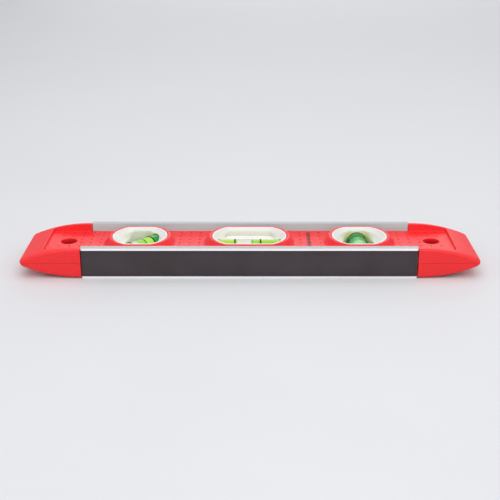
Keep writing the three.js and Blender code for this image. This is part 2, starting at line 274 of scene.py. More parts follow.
def boat_height(x, y):
    s = SIDE_Y - np.abs(y)
    half = END_HALF - edge_trim(s)
    nose = HALF_LENGTH - tip_trim(s) - NOSE_R
    reach = np.sqrt((ARC_R - NOSE_R) ** 2 - (ARC_R - half) ** 2)
    start = nose - reach
    along = np.abs(x)
    arc = half - ARC_R + np.sqrt(np.maximum(ARC_R ** 2 - np.clip(along - start, 0, None) ** 2, 0))
    nose_from = nose + NOSE_R * reach / (ARC_R - NOSE_R)
    round_nose = np.sqrt(np.maximum(NOSE_R ** 2 - np.clip(along - nose, 0, NOSE_R) ** 2, 0))
    return np.where(along > nose_from, round_nose, arc)


def pocket_distance(x, y):
    cy = (POCKET_Y0 + POCKET_Y1) / 2
    hy = (POCKET_Y1 - POCKET_Y0) / 2
    r = np.where(y < cy, POCKET_R_NEAR, POCKET_R)
    qx = np.abs(x) - (POCKET_X - r)
    qy = np.abs(y - cy) - (hy - r)
    outside = np.hypot(np.maximum(qx, 0), np.maximum(qy, 0))
    return outside + np.minimum(np.maximum(qx, qy), 0) - r


FOOT = 0.35
RIM = 0.32
FOOT_AT = -0.10
RIM_AT = 0.04


def wall_height(d, top):
    """Height across the pocket's wall, from the web's fillet to the rounded top edge."""
    fillet = WEB + FOOT - np.sqrt(np.maximum(FOOT ** 2 - np.clip(d - (FOOT_AT - FOOT), 0, FOOT) ** 2, 0))
    t = np.clip((d - FOOT_AT) / (RIM_AT - FOOT_AT), 0, 1)
    wall = WEB + FOOT + t * (top - RIM - WEB - FOOT)
    rim = top - RIM + np.sqrt(np.maximum(RIM ** 2 - np.clip(RIM_AT + RIM - d, 0, RIM) ** 2, 0))
    return np.where(d < FOOT_AT, fillet, np.where(d < RIM_AT, wall, np.where(d < RIM_AT + RIM, rim, top)))


# Raised surround of a window: (distance from the window outline, height above the mid plane)
BOSS_PROFILE = np.array([
    (0.25, 7.34), (0.29, 7.43), (0.38, 7.49), (0.5, 7.5), (0.95, 7.5), (1.08, 7.46), (1.2, 7.36),
    (1.3, 7.18), (1.42, 6.85), (1.62, 6.15), (2.0, 4.9), (2.18, 4.38), (2.36, 3.99), (2.56, 3.74),
    (2.78, 3.61), (3.0, 3.57), (3.1, 3.57),
])
HOLE_ROUND = 0.3
SLOPE_FROM = 0.95
END_SPREAD = 2.1


def slope_spread(x, w):
    """How much wider the boss's slope is: 1 along the straight sides, more round the ends."""
    t = np.clip((np.abs(x - w.x) - (w.half - 7.5)) / 7.0, 0, 1)
    return 1 + (END_SPREAD - 1) * t * t * (3 - 2 * t)


def boss_height(x, y, w):
    d = window_distance(x, y, w)
    d = np.where(d > SLOPE_FROM, SLOPE_FROM + (d - SLOPE_FROM) / slope_spread(x, w), d)
    return np.interp(d, BOSS_PROFILE[:, 0], BOSS_PROFILE[:, 1], right=WEB)


def dent_places():
    places = []
    x = DENT_X0
    while x < POCKET_X - 2:
        for side in (-1, 1):
            for row in range(DENT_ROWS):
                y = DENT_Y0 + row * DENT_ROW
                clear = all(
                    abs(side * x - w.x) > w.half + 3.8 or abs(y - w.y) > WIN_HALF + 3.8 for w in WINDOWS)
                if clear and math.hypot(x - HOLE_X, y - HOLE_Y) > HOLE_R + 1.2:
                    places.append((side * x, y))
        x += DENT_PITCH
    return np.array(places)


DENTS = dent_places()


def dent_share(x, y):
    """1 at the bottom of a dimple, 0 on the flat."""
    share = np.zeros_like(x)
    for px, py in DENTS:
        near = (np.abs(x - px) < 1) & (np.abs(y - py) < 1)
        if near.any():
            r = np.hypot(x[near] - px, y[near] - py)
            share[near] = np.maximum(share[near], np.cos(np.clip(r / DENT_R, 0, 1) * math.pi / 2) ** 1.4)
    return share


def body_height(x, y):
    height = np.full_like(x, WEB)
    for w in WINDOWS:
        height = np.maximum(height, boss_height(x, y, w))
    hole = np.hypot(np.abs(x) - HOLE_X, y - HOLE_Y) - HOLE_R
    height -= HOLE_ROUND - np.sqrt(HOLE_ROUND ** 2 - np.clip(HOLE_ROUND - hole, 0, HOLE_ROUND) ** 2)
    height -= DENT_DEPTH * dent_share(x, y)
    ends = np.abs(x) >= END_X - 0.01
    walls = wall_height(pocket_distance(x, y), boat_height(x, y))
    hole_or_web = np.where(pocket_distance(x, y) < FOOT_AT - FOOT, height, walls)
    return np.maximum(np.where(ends, hole_or_web, height), SEAM)


# ---------------------------------------------------------------- shell mesh
class Plan:
    """Points and kept edges in plan, for a constrained triangulation."""

    def __init__(self):
        self.points = []
        self.edges = []

    def line(self, pts, closed=False):
        start = len(self.points)
        self.points.extend((float(px), float(py)) for px, py in pts)
        count = len(pts)
        for k in range(count if closed else count - 1):
            self.edges.append((start + k, start + (k + 1) % count))

    def dots(self, pts):
        self.points.extend((float(px), float(py)) for px, py in pts)


SIDE_LOOPS = [0, 0.03, 0.1, 0.22, 0.4, 0.65, 0.95, 1.2, 1.32, 1.8, 2.4, 3.0]
WALL_LOOPS = [
    -0.78, -0.65, -0.58, -0.48, -0.36, -0.25, -0.17, -0.12, -0.1, 0.04, 0.07, 0.12, 0.2, 0.29, 0.36, 0.46,
]


def profile_stations(s):
    """X stations along an end at distance s from its side face, closer together round the nose."""
    half = END_HALF - float(edge_trim(np.array(s)))
    nose = HALF_LENGTH - float(tip_trim(np.array(s))) - NOSE_R
    reach = math.sqrt((ARC_R - NOSE_R) ** 2 - (ARC_R - half) ** 2)
    sweep = math.asin(reach / (ARC_R - NOSE_R))
    nose_from = nose + NOSE_R * math.sin(sweep)
    stations = list(np.linspace(END_X, nose_from, 27))
    stations += [nose + NOSE_R * math.sin(sweep + (math.pi / 2 - sweep) * k / 7) for k in range(1, 8)]
    return np.array(stations)


def end_plan(plan, side):
    """Lines along one end block."""
    rows = [(-1, s) for s in SIDE_LOOPS] + [(0, y) for y in np.linspace(-16.6, 16.6, 15)]
    rows += [(1, s) for s in reversed(SIDE_LOOPS)]
    tips = []
    for kind, value in rows:
        s = value if kind else SIDE_Y - abs(value)
        y = kind * (SIDE_Y - value) if kind else value
        xs = profile_stations(s)
        tips.append((side * xs[-1], y))
        run = []
        for px in xs:
            if pocket_distance(np.array(px), np.array(y)) > 0.55:
                run.append((side * px, y))
            elif run:
                plan.line(run)
                run = []
        if len(run) > 1:
            plan.line(run)
    plan.line(tips)


def pocket_plan(plan, side):
    near_x, near_y = POCKET_X - POCKET_R_NEAR, POCKET_Y0 + POCKET_R_NEAR
    far_x, far_y = POCKET_X - POCKET_R, POCKET_Y1 - POCKET_R
    for d in WALL_LOOPS:
        near_r, far_r = POCKET_R_NEAR + d, POCKET_R + d
        run = [(px, POCKET_Y0 - d) for px in np.linspace(END_X, near_x, 12)]
        for k in range(1, 13):
            a = -math.pi / 2 + math.pi / 2 * k / 12
            run.append((near_x + near_r * math.cos(a), near_y + near_r * math.sin(a)))
        run += [(POCKET_X + d, py) for py in np.linspace(near_y, far_y, 14)[1:]]
        for k in range(1, 9):
            a = math.pi / 2 * k / 8
            run.append((far_x + far_r * math.cos(a), far_y + far_r * math.sin(a)))
        run += [(px, POCKET_Y1 + d) for px in np.linspace(far_x, END_X, 12)[1:]]
        plan.line([(side * px, py) for px, py in run])


def circle(cx, cy, r, count, phase=0.0):
    a = phase + np.arange(count) * 2 * math.pi / count
    return np.stack([cx + r * np.cos(a), cy + r * np.sin(a)], axis=1)


def shell_surface():
    plan = Plan()
    near, far = NEAR_WALL + 0.02, FAR_WALL - 0.02
    for y in (near, far):
        plan.line([(px, y) for px in np.linspace(-END_X, END_X, 57)])
    for side in (-1, 1):
        plan.line([(side * END_X, py) for py in (-SIDE_Y, near)])
        plan.line([(side * END_X, py) for py in (far, SIDE_Y)])
        plan.line([(side * END_X, py) for py in np.linspace(near, far, 26)])
        plan.line([(side * (END_X - STEP), py) for py in np.linspace(near, far, 26)])
        end_plan(plan, side)
        pocket_plan(plan, side)
        for grow in (0, 0.03, 0.09, 0.18, 0.3, 0.42):
            plan.line(circle(side * HOLE_X, HOLE_Y, HOLE_R + grow, 56), closed=True)
    for w in WINDOWS:
        rim = window_outline(w.half, SLOPE_FROM)
        for grow in BOSS_PROFILE[:, 0]:
            loop = window_outline(w.half, grow)
            if grow > SLOPE_FROM:
                loop = rim + (loop - rim) * slope_spread(rim[:, 0] + w.x, w)[:, None]
            plan.line(loop + (w.x, w.y), closed=True)
    for i, (px, py) in enumerate(DENTS):
        plan.dots([(px, py)])
        for share, count in ((0.35, 6), (0.7, 9), (0.93, 12), (1.05, 12), (1.25, 12)):
            plan.dots(circle(px, py, DENT_R * share, count, i + share))
    verts, _, faces, _, _, _ = delaunay_2d_cdt([Vector(p) for p in plan.points], plan.edges, [], 0, 1e-5)
    v = np.array([tuple(p) for p in verts])
    f = np.array([tuple(t) for t in faces])
    c = v[f].mean(axis=1)
    x, y = c[:, 0], c[:, 1]
    tip = HALF_LENGTH - tip_trim(SIDE_Y - np.abs(y))
    in_end = (np.abs(y) < SIDE_Y) & (np.abs(x) < tip + 0.004)
    keep = np.where(np.abs(x) < END_X, (y > near) & (y < far), in_end)
    for w in WINDOWS:
        inside = (np.abs(x - w.x) < w.half) & (np.abs(y - w.y) < WIN_HALF)
        away = window_distance(x, y, w)
        keep &= ~(inside & (away < HOLE_GROW)) & (away > HOLE_GROW - 5)
    keep &= np.hypot(np.abs(x) - HOLE_X, y - HOLE_Y) > HOLE_R - 0.004
    f = f[keep]
    b, d = v[f[:, 1]] - v[f[:, 0]], v[f[:, 2]] - v[f[:, 0]]
    flat = np.abs(b[:, 0] * d[:, 1] - b[:, 1] * d[:, 0]) < 1e-7
    f = f[~flat]
    height = body_height(v[:, 0], v[:, 1])
    return v, f, height


# How far each end block's inner wall is moved along X: (side, near edge, far edge)
END_SHIFT = {-1: (-0.4, 0.4), 1: (-0.15, -0.1)}


def moved_ends(v):
    """The shell's plan with the inner walls of the end blocks moved a little."""
    share = np.interp(np.abs(v[:, 0]), [76, 83.5, 84.2, 89], [0, 1, 1, 0])
    shift = np.zeros(len(v))
    for side, (near, far) in END_SHIFT.items():
        on_side = v[:, 0] * side > 0
        shift[on_side] = np.interp(v[on_side, 1], [-SIDE_Y, SIDE_Y], [near, far])
    v[:, 0] += shift * share
    return v


def shell_mesh():
    """Vertices about the mid plane, faces, and each vertex's share of painted shade: the dimple share, and
    0.6 on the hang holes' walls.
    """
    v, f, height = shell_surface()
    used = {}
    for tri in f:
        for k in range(3):
            key = (tri[k], tri[(k + 1) % 3])
            used[key] = used.get(key, 0) + 1
    border = [e for e in used if (e[1], e[0]) not in used]
    top = np.column_stack([v, height])
    lower = {}
    verts = list(top)
    for e in border:
        for p in e:
            if p not in lower:
                lower[p] = len(verts)
                verts.append(np.array([v[p][0], v[p][1], SEAM]))
    faces = [tuple(t) for t in f]
    for a, b in border:
        faces.append((b, a, lower[a], lower[b]))
    share = np.zeros(len(verts))
    share[:len(v)] = dent_share(v[:, 0], v[:, 1])
    # Painted shade on the walls of the hang holes
    low = np.array(verts)[len(v):]
    in_hole = np.hypot(np.abs(low[:, 0]) - HOLE_X, low[:, 1] - HOLE_Y) < HOLE_R + 0.1
    share[len(v):][in_hole] = 0.6
    used_points = sorted({p for face in faces for p in face})
    renumber = {p: i for i, p in enumerate(used_points)}
    faces = [tuple(renumber[p] for p in face) for face in faces]
    return moved_ends(np.array(verts)[used_points]), faces, share[used_points]


# ---------------------------------------------------------------- materials
# Painted shade and painted green glow from the liquid on the housing's inner wall: far from the vial, and
# beside it
PAINTED_WALL_SHADE_AND_GLOW = {
    "slant_vial": ((250, 248, 240), (238, 238, 184)),
    "level_vial": ((238, 238, 219), (226, 226, 174)),
    "plumb_vial": ((246, 244, 232), (240, 248, 150)),
}


def srgb(r, g, b):
    def one(c):
        c /= 255
        return c / 12.92 if c <= 0.04045 else ((c + 0.055) / 1.055) ** 2.4
    return (one(r), one(g), one(b), 1.0)


class Material:
    def __init__(self, name):
        self.material = bpy.data.materials.new(name)
        self.material.use_nodes = True
        self.nodes = self.material.node_tree.nodes
        self.links = self.material.node_tree.links
        self.nodes.clear()
        self.out = self.nodes.new("ShaderNodeOutputMaterial")
        self.place = self.nodes.new("ShaderNodeTexCoord").outputs["Object"]

    def new(self, kind, **values):
        node = self.nodes.new(kind)
        for key, value in values.items():
            if key in node.inputs:
                node.inputs[key].default_value = value
            else:
                setattr(node, key, value)
        return node

    def link(self, a, b):
        self.links.new(a, b)

    def principled(self, **values):
        node = self.new("ShaderNodeBsdfPrincipled")
        for key, value in values.items():
            node.inputs[key].default_value = value
        return node

    def stretched(self, scale):
        mapping = self.new("ShaderNodeMapping")
        mapping.inputs["Scale"].default_value = scale
        self.link(self.place, mapping.inputs["Vector"])
        return mapping.outputs["Vector"]

    def noise(self, scale, detail=2.0, rough=0.5, vector=None):
        node = self.new("ShaderNodeTexNoise")
        node.inputs["Scale"].default_value = scale
        node.inputs["Detail"].default_value = detail
        node.inputs["Roughness"].default_value = rough
        self.link(vector if vector is not None else self.place, node.inputs["Vector"])
        return node.outputs["Fac"]

    def spots(self, scale, vector=None):
        node = self.new("ShaderNodeTexVoronoi")
        node.inputs["Scale"].default_value = scale
        self.link(vector if vector is not None else self.place, node.inputs["Vector"])
        return node.outputs["Distance"]

    def ramp(self, value, stops):
        node = self.new("ShaderNodeValToRGB")
        elements = node.color_ramp.elements
        while len(elements) > 1:
            elements.remove(elements[-1])
        for i, (at, colour) in enumerate(stops):
            element = elements[0] if i == 0 else elements.new(at)
            element.position = at
            element.color = colour
        self.link(value, node.inputs["Fac"])
        return node.outputs["Color"]

    def spread(self, value, low, high, to_low, to_high):
        node = self.new("ShaderNodeMapRange")
        for key, number in (("From Min", low), ("From Max", high), ("To Min", to_low), ("To Max", to_high)):
            node.inputs[key].default_value = number
        self.link(value, node.inputs["Value"])
        return node.outputs["Result"]

    def mix(self, fac, a, b, blend="MIX"):
        node = self.new("ShaderNodeMix")
        node.data_type = "RGBA"
        node.blend_type = blend
        if isinstance(fac, (int, float)):
            node.inputs[0].default_value = fac
        else:
            self.link(fac, node.inputs[0])
        for socket, value in ((node.inputs[6], a), (node.inputs[7], b)):
            if isinstance(value, tuple):
                socket.default_value = value
            else:
                self.link(value, socket)
        return node.outputs[2]

    def attribute(self, name):
        node = self.new("ShaderNodeAttribute")
        node.attribute_name = name
        return node.outputs["Fac"]

    def maths(self, operation, a, b=0.0):
        node = self.new("ShaderNodeMath")
        node.operation = operation
        for socket, value in zip(node.inputs, (a, b)):
            if isinstance(value, (int, float)):
                socket.default_value = value
            else:
                self.link(value, socket)
        return node.outputs[0]

    def off_mid(self):
        """Distance from the mid plane."""
        split = self.new("ShaderNodeSeparateXYZ")
        self.link(self.place, split.inputs[0])
        return self.maths("ABSOLUTE", self.maths("SUBTRACT", split.outputs["Z"], MID * MM))

    def upright(self):
        """How far the surface faces along Z, either way."""
        split = self.new("ShaderNodeSeparateXYZ")
        self.link(self.new("ShaderNodeTexCoord").outputs["Normal"], split.inputs[0])
        return self.maths("ABSOLUTE", split.outputs["Z"])

    def off_axis(self, w):
        """Distance from a vial's axis."""
        shift = self.new("ShaderNodeVectorMath")
        shift.operation = "SUBTRACT"
        shift.inputs[1].default_value = tuple(w.vial * MM)
        self.link(self.place, shift.inputs[0])
        cross = self.new("ShaderNodeVectorMath")
        cross.operation = "CROSS_PRODUCT"
        cross.inputs[1].default_value = (math.cos(w.turn), math.sin(w.turn), 0)
        self.link(shift.outputs[0], cross.inputs[0])
        size = self.new("ShaderNodeVectorMath")
        size.operation = "LENGTH"
        self.link(cross.outputs[0], size.inputs[0])
        return size.outputs["Value"]

    def bump(self, height, strength, distance, chain=None):
        node = self.new("ShaderNodeBump")
        node.inputs["Strength"].default_value = strength
        node.inputs["Distance"].default_value = distance
        self.link(height, node.inputs["Height"])
        if chain is not None:
            self.link(chain, node.inputs["Normal"])
        return node.outputs["Normal"]

    def finish(self, shader):
        self.link(shader.outputs[0], self.out.inputs["Surface"])
        return self.material


def red_plastic():
    m = Material("red_abs")
    wide = m.noise(38, 3)
    fine = m.noise(2600, 2)
    grain = m.noise(900, 3, 0.6)
    base = m.ramp(wide, [(0.3, srgb(238, 30, 35)), (0.7, srgb(244, 36, 40))])
    speck = m.ramp(grain, [(0.42, (0.93, 0.93, 0.93, 1)), (0.6, (1, 1, 1, 1))])
    colour = m.mix(1.0, base, speck, "MULTIPLY")
    # Painted shade: dimples and hang hole walls turn darker red, with less specular
    colour = m.mix(m.spread(m.attribute("hollow_shade"), 0.0, 0.6, 0.0, 0.95), colour, srgb(184, 0, 4))
    shader = m.principled(**{"IOR": 1.5})
    m.link(m.spread(m.attribute("hollow_shade"), 0.0, 0.5, 0.45, 0.1), shader.inputs["Specular IOR Level"])
    shader.inputs["Subsurface Weight"].default_value = 0.06
    shader.inputs["Subsurface Radius"].default_value = (0.0012, 0.0003, 0.0002)
    m.link(colour, shader.inputs["Base Color"])
    m.link(m.spread(grain, 0.3, 0.7, 0.36, 0.5), shader.inputs["Roughness"])
    normal = m.bump(grain, 0.22, 0.00012)
    normal = m.bump(fine, 0.12, 0.00004, normal)
    m.link(normal, shader.inputs["Normal"])
    return m.finish(shader)


def aluminium():
    m = Material("satin_aluminium")
    lines = m.noise(1.0, 3, 0.55, m.stretched((22, 2600, 2600)))
    broad = m.noise(1.0, 2, 0.5, m.stretched((9, 240, 240)))
    colour = m.ramp(broad, [(0.3, srgb(222, 220, 220)), (0.7, srgb(236, 235, 235))])
    streak = m.ramp(lines, [(0.3, (0.9, 0.9, 0.9, 1)), (0.65, (1, 1, 1, 1))])
    shader = m.principled(**{"Metallic": 0.3})
    colour = m.mix(1.0, colour, streak, "MULTIPLY")
    # Painted light: the inner walls get a cyan tint that cancels the red light bounced from the web
    shade = m.mix(m.attribute("inner"), (0.62, 0.6, 0.6, 1.0), (0.64, 1.1, 1.09, 1.0))
    # Painted highlight: each rail's outer face, the base rail's lips among them, lighter than the metal can
    # reflect
    shade = m.mix(m.attribute("milled"), shade, (1.24, 1.23, 1.25, 1.0))
    m.link(m.mix(1.0, colour, shade, "MULTIPLY"), shader.inputs["Base Color"])
    m.link(m.spread(lines, 0.3, 0.7, 0.42, 0.56), shader.inputs["Roughness"])
    m.link(m.bump(lines, 0.25, 0.00003), shader.inputs["Normal"])
    return m.finish(shader)


def magnet():
    m = Material("magnet_sheet")
    wide = m.noise(60, 3)
    grain = m.noise(1500, 3, 0.6)
    base = m.ramp(wide, [(0.3, srgb(58, 50, 53)), (0.7, srgb(66, 57, 61))])
    speck = m.spots(260)
    pale = m.ramp(speck, [(0.0, (1, 1, 1, 1)), (0.035, (0, 0, 0, 1))])
    sparse = m.ramp(m.noise(90, 1), [(0.63, (0, 0, 0, 1)), (0.66, (1, 1, 1, 1))])
    dusty = m.mix(m.mix(1.0, pale, sparse, "MULTIPLY"), base, srgb(150, 138, 132))
    shader = m.principled(**{"Specular IOR Level": 0.35})
    # Painted shade: dark bands along the strip's top and bottom edges, in the gaps by the lips
    edge = m.spread(m.off_mid(), (MAGNET_HALF - 0.45) * MM, (MAGNET_HALF - 0.2) * MM, 0.0, 0.85)
    m.link(m.mix(edge, dusty, srgb(22, 15, 16)), shader.inputs["Base Color"])
    m.link(m.spread(grain, 0.3, 0.7, 0.6, 0.8), shader.inputs["Roughness"])
    m.link(m.bump(grain, 0.3, 0.00008), shader.inputs["Normal"])
    return m.finish(shader)


def white_plastic(w):
    far_wall_shade, near_wall_shade_and_glow = PAINTED_WALL_SHADE_AND_GLOW[w.name]
    m = Material(f"{w.name}_white_plastic")
    wide = m.noise(120, 2)
    grain = m.noise(1600, 2)
    shader = m.principled(**{"Subsurface Weight": 0.15, "Subsurface Scale": 1.0})
    shader.inputs["Subsurface Radius"].default_value = (0.0012, 0.0012, 0.0008)
    plain = m.ramp(wide, [(0.3, srgb(223, 220, 217)), (0.7, srgb(229, 226, 223))])
    painted_light_white = m.ramp(wide, [(0.3, srgb(234, 232, 230)), (0.7, srgb(240, 238, 236))])
    # Painted shade and painted green glow on the deep inner walls, greener and darker beside the vial
    near = m.spread(m.off_axis(w), 5.0 * MM, 9.0 * MM, 1.0, 0.0)
    deep = m.spread(m.off_mid(), 6.2 * MM, 4.6 * MM, 0.0, 1.0)
    wall_shade_and_glow = m.mix(near, srgb(*far_wall_shade), srgb(*near_wall_shade_and_glow))
    wall = m.maths("MULTIPLY", deep, m.spread(m.upright(), 0.5, 0.85, 1.0, 0.0))
    # Deeper surfaces, the floor among them, painted lighter white: painted light
    colour = m.mix(deep, plain, painted_light_white)
    m.link(m.mix(wall, colour, m.mix(1.0, painted_light_white, wall_shade_and_glow, "MULTIPLY")), shader.inputs["Base Color"])
    m.link(m.spread(grain, 0.3, 0.7, 0.34, 0.44), shader.inputs["Roughness"])
    m.link(m.bump(grain, 0.1, 0.00004), shader.inputs["Normal"])
    return m.finish(shader)


def clear_acrylic():
    m = Material("clear_acrylic")
    haze = m.noise(700, 2)
    # The gloss's dark green base colour shows toward the tube's silhouette: painted edge shade
    gloss = m.principled(**{"Base Color": (0.25, 0.34, 0.2, 1), "IOR": 1.49})
    m.link(m.spread(haze, 0.3, 0.7, 0.03, 0.09), gloss.inputs["Roughness"])
    clear = m.new("ShaderNodeBsdfTransparent")
    clear.inputs["Color"].default_value = (0.985, 0.995, 0.97, 1)
    edge = m.new("ShaderNodeLayerWeight")
    edge.inputs["Blend"].default_value = 0.1
    share = m.spread(edge.outputs["Fresnel"], 0.0, 1.0, 0.015, 0.2)
    mix = m.new("ShaderNodeMixShader")
    m.link(share, mix.inputs[0])
    m.link(clear.outputs[0], mix.inputs[1])
    m.link(gloss.outputs[0], mix.inputs[2])
    return m.finish(mix)


def liquid(name, stops, glow, edge):
    m = Material(name)
    swirl = m.noise(300, 2)
    colour = m.ramp(m.spread(m.attribute("along"), -17, 17, 0, 1), stops)
    cloud = m.ramp(swirl, [(0.35, (0.94, 0.95, 0.9, 1)), (0.65, (1, 1, 1, 1))])
    colour = m.mix(1.0, colour, cloud, "MULTIPLY")
    # Painted rim colour toward the silhouette: a pale sheen on the level vial, a darker rim shade on the
    # plumb and slant vials
    facing = m.new("ShaderNodeLayerWeight")
    facing.inputs["Blend"].default_value = 0.5
    colour = m.mix(m.spread(facing.outputs["Facing"], 0.4, 0.95, 0.0, 1.0), colour, edge)
    shader = m.principled(**{"Specular IOR Level": 0.12, "IOR": 1.35})
    shader.inputs["Subsurface Weight"].default_value = 0.25
    shader.inputs["Subsurface Radius"].default_value = (0.002, 0.003, 0.001)
    # Painted glow: the liquid gives off a little light
    shader.inputs["Emission Strength"].default_value = glow
    m.link(colour, shader.inputs["Base Color"])
    m.link(colour, shader.inputs["Emission Color"])
    m.link(m.spread(swirl, 0.3, 0.7, 0.12, 0.2), shader.inputs["Roughness"])
    return m.finish(shader)


def bubble_air(name, stops):
    m = Material(name)
    swirl = m.noise(500, 2)
    shader = m.principled(**{"Specular IOR Level": 0.35, "IOR": 1.4})
    colour = m.ramp(m.spread(m.attribute("along"), -17, 17, 0, 1), stops)
    cloud = m.ramp(swirl, [(0.3, (0.94, 0.95, 0.93, 1)), (0.7, (1, 1, 1, 1))])
    m.link(m.mix(1.0, colour, cloud, "MULTIPLY"), shader.inputs["Base Color"])
    m.link(m.spread(swirl, 0.3, 0.7, 0.08, 0.18), shader.inputs["Roughness"])
    return m.finish(shader)


def plug_plastic():
    m = Material("plug_plastic")
    cloud = m.noise(400, 3)
    shader = m.principled(**{"Specular IOR Level": 0.3, "Subsurface Weight": 0.2})
    shader.inputs["Subsurface Radius"].default_value = (0.001, 0.001, 0.0006)
    colour = m.ramp(cloud, [(0.3, srgb(186, 186, 146)), (0.7, srgb(202, 202, 164))])
    m.link(colour, shader.inputs["Base Color"])
    m.link(m.spread(cloud, 0.3, 0.7, 0.3, 0.42), shader.inputs["Roughness"])
    m.link(m.bump(cloud, 0.1, 0.00005), shader.inputs["Normal"])
    return m.finish(shader)


def ink(name, colour):
    m = Material(name)
    patch = m.noise(1800, 3)
    shader = m.principled(**{"Specular IOR Level": 0.4})
    r, g, b, _ = colour
    faded = (r * 1.6, g * 1.6, b * 1.6, 1)
    m.link(m.ramp(patch, [(0.3, colour), (0.7, faded)]), shader.inputs["Base Color"])
    m.link(m.spread(patch, 0.3, 0.7, 0.4, 0.6), shader.inputs["Roughness"])
    return m.finish(shader)


def tape():
    # Dark charcoal is a guess at black foam tape; it also serves as painted shade in the gap at the magnet's
    # ends
    m = Material("adhesive_tape")
    fibre = m.noise(1.0, 3, 0.5, m.stretched((400, 3000, 3000)))
    shader = m.principled()
    m.link(m.ramp(fibre, [(0.3, srgb(58, 52, 52)), (0.7, srgb(74, 68, 66))]), shader.inputs["Base Color"])
    m.link(m.spread(fibre, 0.3, 0.7, 0.6, 0.85), shader.inputs["Roughness"])
    return m.finish(shader)


def floor_material():
    m = Material("pale_floor")
    cloud = m.noise(9, 3)
    shader = m.principled(**{"Specular IOR Level": 0.25})
    colour = m.ramp(cloud, [(0.3, (0.66, 0.66, 0.67, 1)), (0.7, (0.68, 0.68, 0.69, 1))])
    m.link(colour, shader.inputs["Base Color"])
    m.link(m.spread(cloud, 0.3, 0.7, 0.6, 0.7), shader.inputs["Roughness"])
    return m.finish(shader)


RED = red_plastic()
METAL = aluminium()
MAGNET = magnet()
ACRYLIC = clear_acrylic()
INK = ink("black_line", srgb(14, 14, 14))
DIM_INK = ink("line_in_liquid", srgb(36, 84, 58))
PRINT = ink("dark_print", srgb(26, 14, 20))
TAPE = tape()
PLUG = plug_plastic()
# Colour along each vial; the darker green toward the far ends of the slant and plumb vials is painted shade,
# where they run into the housing's socket
LIQUIDS = {
    "level_vial": liquid("fluid_level", [(0.0, srgb(168, 206, 66)), (0.5, srgb(172, 210, 72)),
                                         (0.52, srgb(160, 204, 64)), (1.0, srgb(144, 198, 66))],
                         0.1, srgb(214, 232, 150)),
    "plumb_vial": liquid("fluid_plumb", [(0.0, srgb(96, 208, 92)), (0.55, srgb(80, 200, 92)),
                                         (0.72, srgb(52, 164, 98)), (0.8, srgb(52, 124, 84))],
                         0.12, srgb(44, 132, 70)),
    "slant_vial": liquid("fluid_slant", [(0.0, srgb(150, 214, 100)), (0.3, srgb(168, 222, 78)),
                                         (0.68, srgb(176, 226, 90)), (0.71, srgb(34, 164, 72)),
                                         (0.8, srgb(30, 136, 92)), (0.88, srgb(52, 104, 92))],
                         0.08, srgb(150, 206, 96)),
}


def along_share(t):
    return (t + 17) / 34


# The bubbles' pale colours are a painted reflection, for the silvery look of air in the liquid; the mint of
# the plumb bubble is a painted highlight, and the dark green at one end of the level and slant bubbles
# painted shade
BUBBLES = {
    "level_vial": bubble_air("air_level", [(along_share(1.8), srgb(224, 221, 214)),
                                           (along_share(2.0), srgb(72, 190, 92))]),
    "plumb_vial": bubble_air("air_plumb", [(0.0, srgb(136, 216, 166)),
                                           (along_share(-1.0), srgb(124, 214, 146)),
                                           (along_share(0.5), srgb(96, 204, 112))]),
    "slant_vial": bubble_air("air_slant", [(along_share(-3.2), srgb(222, 220, 212)),
                                           (along_share(-2.5), srgb(150, 214, 96)),
                                           (along_share(1.0), srgb(160, 218, 84)),
                                           (along_share(1.4), srgb(58, 150, 60))]),
}


# ---------------------------------------------------------------- shells
def build_shells():
    verts, faces, share = shell_mesh()
    front = verts.copy()
    front[:, 2] += MID
    obj = add_object("front_shell_skin", front, faces, RED, attrs={"hollow_shade": share}, smooth=40)
    stand_for(obj, ["front_shell"])
    back = verts * (1, 1, -1)
    back[:, 2] += MID
    flipped = [tuple(reversed(f)) for f in faces]
    obj = add_object("back_shell_skin", back, flipped, RED, attrs={"hollow_shade": share}, smooth=40)
    stand_for(obj, ["back_shell"])


build_shells()


# ---------------------------------------------------------------- rails, magnet, tape
def rounded(points):
    """Polygon with its corners rounded: each point is (y, z, radius)."""
    out = []
    count = len(points)
    for i, (y, z, r) in enumerate(points):
        here = np.array([y, z], float)
        before = np.array(points[i - 1][:2], float)
        after = np.array(points[(i + 1) % count][:2], float)
        if r <= 0:
            out.append(here)
            continue
        u = (before - here) / np.linalg.norm(before - here)
        v = (after - here) / np.linalg.norm(after - here)
        start, stop = here + u * r, here + v * r
        for k in range(7):
            t = k / 6
            out.append((1 - t) ** 2 * start + 2 * t * (1 - t) * here + t * t * stop)
    return np.array(out)


def inset(outline, amount):
    before = outline - np.roll(outline, 1, axis=0)
    after = np.roll(outline, -1, axis=0) - outline
    n1 = np.stack([-before[:, 1], before[:, 0]], axis=1)
    n2 = np.stack([-after[:, 1], after[:, 0]], axis=1)
    n1 /= np.maximum(np.linalg.norm(n1, axis=1, keepdims=True), 1e-9)
    n2 /= np.maximum(np.linalg.norm(n2, axis=1, keepdims=True), 1e-9)
    n = n1 + n2
    n /= np.maximum(np.linalg.norm(n, axis=1, keepdims=True), 1e-9)
    area = np.sum(outline[:, 0] * np.roll(outline[:, 1], -1) - np.roll(outline[:, 0], -1) * outline[:, 1])
    return outline + n * amount * (1 if area > 0 else -1)


